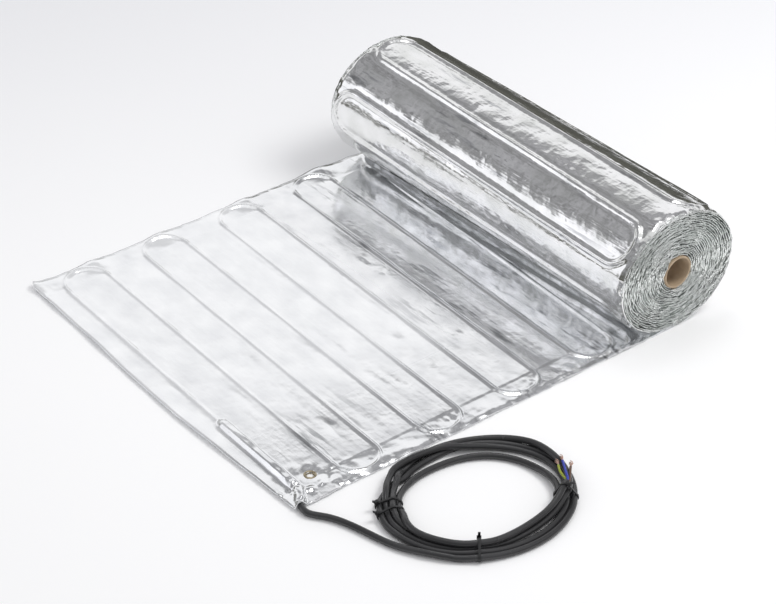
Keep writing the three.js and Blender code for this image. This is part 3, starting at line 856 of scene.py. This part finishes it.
def makeLaidFoil():
    alongSheet = stations(sheet["firstRow"], sheet["pitch"], sheet["rows"], 0, sheet["long"], 15)
    acrossSheet = acrossStations(sheet["half"], 48, 1.7, 3.8)
    bm = gridPiece(
        len(alongSheet), len(acrossSheet),
        lambda column, row: sheetPoint(alongSheet[column], acrossSheet[row]),
    )
    # the hole for the eyelet
    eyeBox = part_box("eyelet")
    eye = (eyeBox[0] + eyeBox[1]) / 2
    gone = [
        f for f in bm.faces
        if hypot(f.calc_center_median().x - eye.x, f.calc_center_median().y - eye.y) < 4.6 * mm
    ]
    bmesh.ops.delete(bm, geom=gone, context="FACES")
    for vert in bm.verts:
        away = hypot(vert.co.x - eye.x, vert.co.y - eye.y) / mm
        if away < 13:
            vert.co.z += (eyeBox[0].z + 1.9 * mm - vert.co.z) * smooth((13 - away) / 6)
    ground = sheet["floor"] * mm
    walls = bmesh.ops.extrude_edge_only(bm, edges=[e for e in bm.edges if e.is_boundary])
    for vert in walls["geom"]:
        if isinstance(vert, bmesh.types.BMVert):
            atEye = hypot(vert.co.x - eye.x, vert.co.y - eye.y) < 13 * mm
            vert.co.z = ground if atEye else max(ground, vert.co.z - sheet["rim"] * mm)
    rim = [e for e in walls["geom"] if isinstance(e, bmesh.types.BMEdge)]
    inset = bmesh.ops.extrude_edge_only(bm, edges=rim)
    inner = sheet["half"] * mm - sheet["inset"] * mm
    for vert in inset["geom"]:
        if isinstance(vert, bmesh.types.BMVert):
            if hypot(vert.co.x - eye.x, vert.co.y - eye.y) > 13 * mm:
                vert.co.x = max(vert.co.x, leadingEdge + sheet["inset"] * mm + 0.2 * mm)
                vert.co.y = max(-inner, min(inner, vert.co.y))
            vert.co.z = ground - 0.0001 * mm
    bmesh.ops.remove_doubles(bm, verts=bm.verts, dist=1e-7)
    bottom = [e for e in bm.edges if e.is_boundary]
    bmesh.ops.triangle_fill(bm, edges=bottom, use_beauty=False)
    return meshPiece(bm, "foil_laid")


laidPiece = settle(makeLaidFoil(), "foil", laidFoil, "foil_mat")
print("laid foil made,", len(laidPiece.data.polygons), "faces")


# the roll: its outer turn, and the edges of all its turns at both ends

roll = {
    "centre": 512.0, "high": 70.9, "halfWide": 83.0, "halfHigh": 72.1, "turns": 26, "core": 20.6,
    "pitch": 53.5, "lean": -12.0, "anchor": 24.0, "ridge": 1.9, "ridgeFlat": 0.8, "ridgeFoot": 4.0,
    "sag": 1.2, "half": 250, "step": 2.4, "partedBy": 1.5,
}
ringSteps = 1440
ringTurn = np.linspace(0, 2 * pi, ringSteps + 1)
ringX, ringZ = roll["halfWide"] * np.sin(ringTurn), -roll["halfHigh"] * np.cos(ringTurn)
ringLength = np.concatenate(([0], np.cumsum(np.hypot(np.diff(ringX), np.diff(ringZ)))))
girth = float(ringLength[-1])


def turnAtLength(length):
    return float(np.interp(length, ringLength, ringTurn))


def onRoll(turn, inwards, y):
    # turn goes from the floor up the back, over the top and down the front
    x, z = roll["halfWide"] * sin(turn), -roll["halfHigh"] * cos(turn)
    nx, nz = sin(turn) / roll["halfWide"], -cos(turn) / roll["halfHigh"]
    size = hypot(nx, nz)
    height = roll["high"] + z - inwards * nz / size
    return onMat(roll["centre"] + x - inwards * nx / size, y, max(0.4, height))


anchorLength = float(np.interp(pi + radians(roll["anchor"]), ringTurn, ringLength))


def rollRelief(length, v):
    shifted = length - roll["lean"] * v / 500
    rows = (shifted - anchorLength) / roll["pitch"]
    part = rows - floor(rows)
    relief = -roll["sag"] * (1 - (2 * part - 1) ** 2) * smooth((246 - abs(v)) / 40)
    away = toCable(shifted, v, anchorLength, roll["pitch"], sheet["turnAt"] - 2, 1)
    relief += tent(away, roll["ridgeFlat"], roll["ridgeFoot"], roll["ridge"])
    relief -= 0.5 * np.exp(-((away - 6) / 1.8) ** 2)
    relief += 0.75 * noise.noise(Vector((length / 34, v / 130, 21.0)))
    relief += 0.22 * noise.noise(Vector((length / 11, v / 70, 33.0)))
    patch = smooth(0.35 + 1.4 * noise.noise(Vector((length / 60, v / 90, 51.0))))
    relief += 0.3 * patch * crumple(length, v / 2.6, 12, 17.0)
    rim = smooth((abs(v) - 222) / 26)
    relief += 1.7 * rim * crumple(length, v, 8.5, 6.0 if v > 0 else 11.0)
    relief -= 2.2 * smooth((abs(v) - 241) / 9)
    return relief


def makeRollSkin():
    pitch = roll["pitch"]
    alongRoll = stations(anchorLength % pitch, pitch, ceil(girth / pitch), roll["partedBy"], girth, 16)
    acrossRoll = acrossStations(roll["half"] - 0.5, 44, 1.8, 4.6)

    def place(column, row):
        length, v = alongRoll[column], acrossRoll[row]
        inner = roll["step"] * length / girth
        return onRoll(turnAtLength(length), inner - rollRelief(length, v), v)

    bm = gridPiece(len(alongRoll), len(acrossRoll), place)
    piece = meshPiece(bm, "foil_roll_outer_turn")
    piece.data.validate()
    wall = piece.modifiers.new("wall", "SOLIDIFY")
    wall.thickness = 0.5 * mm
    wall.offset = -1
    return piece


rollSkin = settle(makeRollSkin(), "foil", rollFoil)
print("roll's outer turn made,", len(rollSkin.data.polygons), "faces")

edgeSet = {"step": 2.2, "deep": 9.0, "wall": 0.5, "wander": 0.9, "outward": 1.9}


def makeTurnEdges(name, side):
    # one long folded edge that winds in from the outer turn to the tube
    marks, turned = [], 0.0
    total = roll["turns"] * 2 * pi
    while turned < total:
        share = turned / total
        wide = roll["halfWide"] + (roll["core"] - roll["halfWide"]) * share
        high = roll["halfHigh"] + (roll["core"] - roll["halfHigh"]) * share
        marks.append((turned, wide, high))
        turned += edgeSet["step"] / ((wide + high) / 2)
    section = ((-1, 1), (-1, 0.1), (-0.45, 0), (0.45, 0), (1, 0.1), (1, 1), (-1, 1))

    def place(column, row):
        turned, wide, high = marks[column]
        around, depth = section[row]
        cx, cz = sin(turned), -cos(turned)
        lap = turned / (2 * pi)
        spot = Vector((wide * cx / 11, high * cz / 11, lap * 2.7 + side * 40))
        broad = Vector((wide * cx / 34, high * cz / 34, lap * 0.35 + side * 20))
        wander = edgeSet["wander"] * noise.noise(spot) + 1.5 * noise.noise(broad)
        stick = edgeSet["outward"] * noise.noise(spot * 1.4 + Vector((5, 5, 5)))
        stick += 0.7 * noise.noise(spot * 3.1)
        pinch = 1 + 0.6 * noise.noise(spot * 2.3)
        inwards = 1.6 - wander * smooth(lap / 1.2) - around * edgeSet["wall"] * pinch
        x, z = (wide - inwards) * cx, (high - inwards) * cz
        y = roll["half"] - 1.2 + stick - depth * edgeSet["deep"]
        height = max(0.9 - 0.3 * around, roll["high"] + z)
        return onMat(roll["centre"] + x, side * y, height)

    bm = gridPiece(len(marks), len(section), place, closed=True)
    ends = [e for e in bm.edges if e.is_boundary]
    bmesh.ops.holes_fill(bm, edges=ends, sides=8)
    return settle(meshPiece(bm, name), "foil", edgeFoil)


nearEdges = makeTurnEdges("foil_turn_edges_near", -1)
makeTurnEdges("foil_turn_edges_far", 1)
print("turn edges made,", len(nearEdges.data.polygons), "faces an end")


def makeEndWall(name, side):
    # the turns behind their edges, as a flat ring
    bm = bmesh.new()
    deep = (roll["half"] - 5.5) * side
    rings = []
    for wide, high in ((roll["halfWide"] - 3, roll["halfHigh"] - 3), (roll["core"], roll["core"])):
        ring = bmesh.ops.create_circle(bm, segments=120, radius=1, cap_ends=False)["verts"]
        for vert in ring:
            vert.co = onMat(roll["centre"] + vert.co.x * wide, deep, roll["high"] + vert.co.y * high)
        rings.append(ring)
    edges = [e for e in bm.edges]
    bmesh.ops.bridge_loops(bm, edges=edges)
    bmesh.ops.solidify(bm, geom=bm.faces[:], thickness=1.0 * mm)
    return settle(meshPiece(bm, name), "foil", edgeFoil)


makeEndWall("foil_turns_behind_near", -1)
makeEndWall("foil_turns_behind_far", 1)


# the cardboard tube and the eyelet, both turned

def turnedPiece(name, profile, axisPoint, axis, segments=96):
    bm = bmesh.new()
    verts = [bm.verts.new(p) for p in profile]
    edges = [bm.edges.new((a, b)) for a, b in zip(verts, verts[1:] + verts[:1])]
    bmesh.ops.spin(
        bm, geom=verts + edges, cent=axisPoint, axis=axis, angle=2 * pi, steps=segments, use_merge=True,
    )
    bmesh.ops.remove_doubles(bm, verts=bm.verts, dist=1e-6)
    return meshPiece(bm, name)


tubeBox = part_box("cardboard_tube")
tubeAxis = (tubeBox[0] + tubeBox[1]) / 2
tubeSet = {"bore": 16.5, "outer": 19.0, "round": 0.5}


def makeTube():
    bore, outer, soft = tubeSet["bore"] * mm, tubeSet["outer"] * mm, tubeSet["round"] * mm
    profile = []
    for side in (-1, 1):
        end = tubeBox[0].y if side < 0 else tubeBox[1].y
        points = [(bore, end - side * soft), (bore + soft * 0.4, end), (outer - soft * 0.4, end),
                  (outer, end - side * soft)]
        profile += points if side < 0 else points[::-1]
    places = [(tubeAxis.x + r, y, tubeAxis.z) for r, y in profile]
    return turnedPiece("cardboard_tube_wound", places, tubeAxis, (0, 1, 0))


settle(makeTube(), "cardboard", cardboard, "cardboard_tube")

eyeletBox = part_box("eyelet")
eyeletAxis = (eyeletBox[0] + eyeletBox[1]) / 2
eyeletSet = {"hole": 4.0, "barrel": 4.6, "flange": 7.5, "lower": 6.5}


def makeEyelet():
    top = eyeletBox[1].z / mm
    hole, barrel, flange, lower = (eyeletSet[k] for k in ("hole", "barrel", "flange", "lower"))
    profile = [
        (hole - 0.6, 0.5), (hole - 0.5, top - 1.6), (hole + 0.3, top - 0.7), (hole + 1.1, top),
        (hole + 2, top),
        (flange - 0.7, top - 0.6), (flange, top - 1.3), (flange - 0.15, top - 1.6), (barrel, top - 1.3),
        (barrel, 0.75), (lower, 0.6), (lower, 0.25), (barrel, 0.15),
    ]
    places = [(eyeletAxis.x + r * mm, eyeletAxis.y, z * mm) for r, z in profile]
    return turnedPiece("eyelet_rolled", places, eyeletAxis, (0, 0, 1), 64)


settle(makeEyelet(), "nickel_brass", nickelBrass, "eyelet")

# pieces kept from the frame, hidden under the foil
for node, material in (("heating_cable", redCable), ("joint_sleeve", blackPvc)):
    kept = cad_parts[node]
    kept.data.materials.clear()
    kept.data.materials.append(material)
print("tube and eyelet made")


# floor and studio light

# the far tint is painted shade; the dark tint is a painted reflection, seen only by glossy rays
stageFloor = {
    "radius": 1.5, "near": (0.97, 0.97, 0.972), "far": (0.8, 0.803, 0.823), "fade": (-0.2, 1.0),
    "away": (0.62, 0.78, 0), "dark": (0.06, 0.06, 0.05), "paintedReflectionFrom": (0.4, 0.62),
}


def makeFloor():
    # pale, with painted shade making it a little greyer far off, and a painted dark reflection, dark only to
    # glossy rays, where the back of the roll would see past its edge
    bm = bmesh.new()
    bmesh.ops.create_circle(bm, segments=96, radius=stageFloor["radius"], cap_ends=True)
    floorPiece = meshPiece(bm, "studio_floor")
    material, tree, shader = newMaterial("studio_floor", stageFloor["near"], 0.75)
    shader.inputs["Specular IOR Level"].default_value = 0.15
    where = addNode(tree, "ShaderNodeTexCoord")
    far = project(tree, where.outputs["Object"], stageFloor["away"])
    fade, dark = (addRamp(tree, far, *stageFloor[name]) for name in ("fade", "paintedReflectionFrom"))
    ray = addNode(tree, "ShaderNodeLightPath")
    # painted reflection: the dark tint only for glossy rays
    paintedReflectionMask = calculate(tree, "MULTIPLY", dark, ray.outputs["Is Glossy Ray"])
    # painted shade: greyer far off
    pale = tint(tree, fade, stageFloor["near"], stageFloor["far"])
    tree.links.new(tint(tree, paintedReflectionMask, pale, stageFloor["dark"]), shader.inputs["Base Color"])
    floorPiece.data.materials.append(material)


makeFloor()

# soft panels of the studio, seen in the foil: heading, height, half width, half height, edge, brightness
panels = (
    {"at": (48, 26), "half": (60, 13), "edge": 0.07, "light": (0.95, 0.95, 0.962)},
    {"at": (136, 17), "half": (14, 15), "edge": 0.05, "light": (1.1, 1.1, 1.14)},
    {"at": (292, 46), "half": (36, 16), "edge": 0.1, "light": (0.75, 0.75, 0.77)},
    {"at": (0, 88), "half": (26, 26), "edge": 0.15, "light": (0.85, 0.85, 0.86)},
)
studio = {"base": (0.12, 0.12, 0.12), "lit": (0.5, 0.5, 0.52), "patch": 7, "rise": (0.16, 0.3),
          "horizon": (0.11, 0.11, 0.095), "seen": (0.86, 0.865, 0.885),
          "soft": (0.7, 0.7, 0.715)}


def makePanelGroup():
    tree, given, result = addGroup(
        "softPanel",
        tuple((label, vector, None) for label in ("Direction", "Facing", "Across", "Up"))
        + (("Half Width", number, 0.5), ("Half Height", number, 0.5), ("Edge", number, 0.05)),
        (("Mask", number),),
    )
    ahead, across, up = (
        project(tree, given.outputs["Direction"], given.outputs[axis]) for axis in ("Facing", "Across", "Up")
    )
    ahead = calculate(tree, "MAXIMUM", ahead, 0.001)
    masks = []
    for dot, half in ((across, "Half Width"), (up, "Half Height")):
        size = calculate(tree, "ABSOLUTE", calculate(tree, "DIVIDE", dot, ahead))
        inner, outer = (
            calculate(tree, way, given.outputs[half], given.outputs["Edge"]) for way in ("SUBTRACT", "ADD")
        )
        masks.append(addRamp(tree, size, inner, outer, 1, 0))
    tree.links.new(calculate(tree, "MULTIPLY", *masks), result.inputs["Mask"])
    return tree


def makeStudio():
    world = bpy.data.worlds.new("studio")
    bpy.context.scene.world = world
    world.use_nodes = True
    tree = world.node_tree
    link = tree.links.new
    background = tree.nodes["Background"]
    where = addNode(tree, "ShaderNodeTexCoord")
    panelGroup = makePanelGroup()
    parts = addNode(tree, "ShaderNodeSeparateXYZ")
    link(where.outputs["Generated"], parts.inputs[0])
    uneven = addNode(tree, "ShaderNodeTexNoise")
    uneven.inputs["Scale"].default_value = studio["patch"]
    uneven.inputs["Detail"].default_value = 5
    uneven.inputs["Roughness"].default_value = 0.65
    link(where.outputs["Generated"], uneven.inputs["Vector"])
    dim = tint(tree, spread(tree, uneven.outputs["Fac"], 0, 1), studio["base"], studio["lit"])
    shade = tint(tree, addRamp(tree, parts.outputs["Z"], *studio["rise"]), studio["horizon"], dim)
    for panel in panels:
        heading, height = radians(panel["at"][0]), radians(panel["at"][1])
        facing = Vector((cos(heading) * cos(height), sin(heading) * cos(height), sin(height)))
        across = Vector((sin(heading), -cos(heading), 0))
        mask = addNode(tree, "ShaderNodeGroup", node_tree=panelGroup)
        link(where.outputs["Generated"], mask.inputs["Direction"])
        mask.inputs["Facing"].default_value = facing
        mask.inputs["Across"].default_value = across
        mask.inputs["Up"].default_value = across.cross(facing)
        wide, tall = (radians(a) for a in panel["half"])
        mask.inputs["Half Width"].default_value = sin(wide) / cos(wide)
        mask.inputs["Half Height"].default_value = sin(tall) / cos(tall)
        mask.inputs["Edge"].default_value = panel["edge"]
        shade = tint(tree, mask.outputs[0], shade, panel["light"])
    ray = addNode(tree, "ShaderNodeLightPath")
    for kind, light in (("Is Diffuse Ray", "soft"), ("Is Camera Ray", "seen")):
        shade = tint(tree, ray.outputs[kind], shade, studio[light])
    link(shade, background.inputs["Color"])


makeStudio()

lights = (
    {"name": "key", "place": (1.45, -0.75, 2.2), "aim": (0.1, 0, 0), "size": 1.1, "power": 30,
     "tint": (1, 1, 0.985), "seen": False},
    {"name": "glint", "place": (0.62, 0.5, 2.3), "aim": (0, -0.2, 0), "size": 0.5, "power": 3,
     "tint": (1, 1, 1), "seen": True},
)


def addLight(light):
    data = bpy.data.lights.new(light["name"], "AREA")
    data.shape = "SQUARE"
    data.size = light["size"]
    data.energy = light["power"]
    data.color = light["tint"]
    lamp = bpy.data.objects.new(light["name"], data)
    lamp.location = light["place"]
    way = Vector(light["aim"]) - Vector(light["place"])
    lamp.rotation_euler = way.to_track_quat("-Z", "Y").to_euler()
    lamp.visible_camera = False
    lamp.visible_glossy = light["seen"]
    bpy.context.collection.objects.link(lamp)


for light in lights:
    addLight(light)
bpy.context.scene.view_settings.view_transform = "Standard"
print("studio set")
